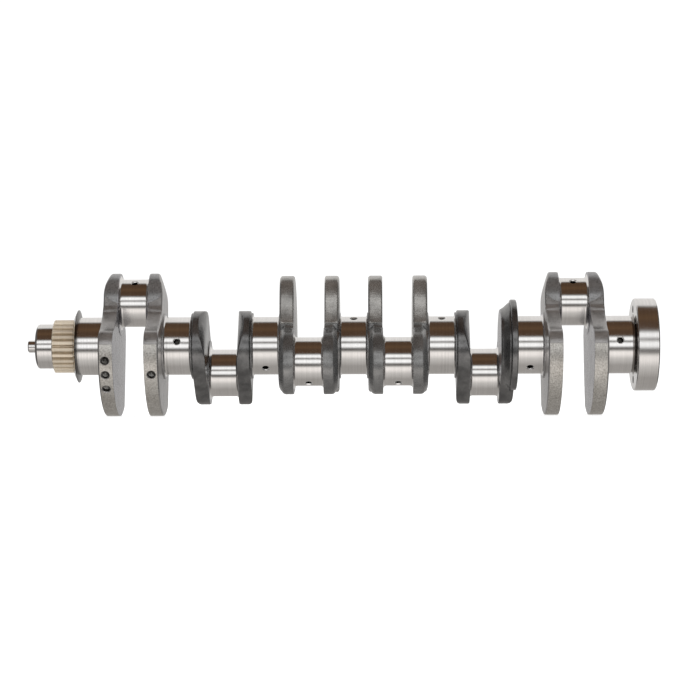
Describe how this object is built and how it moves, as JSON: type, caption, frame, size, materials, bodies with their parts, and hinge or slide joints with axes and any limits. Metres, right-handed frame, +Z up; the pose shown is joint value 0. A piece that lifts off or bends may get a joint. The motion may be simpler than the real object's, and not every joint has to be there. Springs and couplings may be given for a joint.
{
  "type": "crankshaft",
  "caption": "Forged crankshaft for an inline-six diesel engine, with counterweights, a small toothed gear and slinger on its nose, and a bolted flywheel flange.",
  "frame": {"origin": "on the crank axis, at the middle of the centre main journal", "axes": "+X along the crank axis towards the flywheel flange, +Z up, with crankpins 1 and 6 near the top; -Y faces the picture's camera"},
  "size_m": [0.931, 0.2125, 0.2126],
  "materials": {
    "ground_steel": "ground and polished journals and pins",
    "turned_steel": "fine turned",
    "forged_steel": "dark as-forged scale, shot blasted",
    "weight_rim_steel": "milled and turned counterweight rims, lightly speckled",
    "gear_steel": "straw-coloured heat tint",
    "plain_steel": "bright pressed or cut steel"
  },
  "bodies": {
    "root": {"front_pilot": "ground_steel", "snout": "ground_steel", "nose_sleeve": "ground_steel", "timing_gear": "gear_steel", "gear_key": "plain_steel", "oil_slinger": "plain_steel", "thrust_collar": "forged_steel", "rear_neck": "turned_steel", "rear_flange": "ground_steel", "main_journal_1": "ground_steel", "main_journal_2": "ground_steel", "main_journal_3": "ground_steel", "main_journal_4": "ground_steel", "main_journal_5": "ground_steel", "main_journal_6": "ground_steel", "main_journal_7": "ground_steel", "crankpin_1": "ground_steel", "crankpin_2": "ground_steel", "crankpin_3": "ground_steel", "crankpin_4": "ground_steel", "crankpin_5": "ground_steel", "crankpin_6": "ground_steel", "web_01": "forged_steel", "web_02": "forged_steel", "web_03": "forged_steel", "web_04": "forged_steel", "web_05": "forged_steel", "web_06": "forged_steel", "web_07": "forged_steel", "web_08": "forged_steel", "web_09": "forged_steel", "web_10": "forged_steel", "web_11": "forged_steel", "web_12": "forged_steel", "counterweight_01": "weight_rim_steel", "counterweight_02": "weight_rim_steel", "counterweight_05": "forged_steel", "counterweight_06": "forged_steel", "counterweight_07": "forged_steel", "counterweight_08": "forged_steel", "counterweight_11": "weight_rim_steel", "counterweight_12": "weight_rim_steel"}
  },
  "joints": []
}
